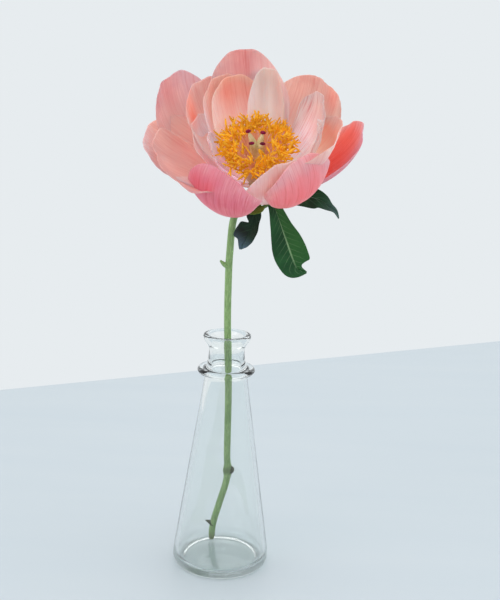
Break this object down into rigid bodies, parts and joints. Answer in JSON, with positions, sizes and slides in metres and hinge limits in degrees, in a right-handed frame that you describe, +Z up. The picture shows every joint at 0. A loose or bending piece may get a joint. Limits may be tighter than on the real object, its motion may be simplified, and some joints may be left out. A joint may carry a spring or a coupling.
{
  "type": "peony in a bud vase",
  "caption": "Single cut coral peony, wide open with golden stamens, on a leafy green stem that stands in a small clear glass bottle vase with a collar ring.",
  "frame": {"origin": "middle of the vase's round underside, on the surface it stands on", "axes": "+Z up along the vase's axis, -Y the side that the bloom faces, +X to the viewer's right"},
  "size_m": [0.116, 0.1271, 0.3169],
  "materials": {
    "glass": "clear, fire polished, faintly cool grey",
    "stem": "living green stem, satin",
    "sepal": "olive green, satin",
    "leaf": "dark green, waxy, paler midrib",
    "petal": "soft matt petal, rose outside, coral and cream inside, fine veins",
    "stamen": "powdery golden orange",
    "carpel": "pale khaki green, finely downy",
    "stigma": "crimson, velvety"
  },
  "bodies": {
    "root": {"vase": "glass", "stem": "stem", "sepals": "sepal", "leaf_left": "leaf", "leaf_centre": "leaf", "leaf_right": "leaf", "petals": "petal", "stamens": "stamen", "carpels": "carpel", "stigma_1": "stigma", "stigma_2": "stigma", "stigma_3": "stigma", "stigma_4": "stigma"}
  },
  "joints": []
}
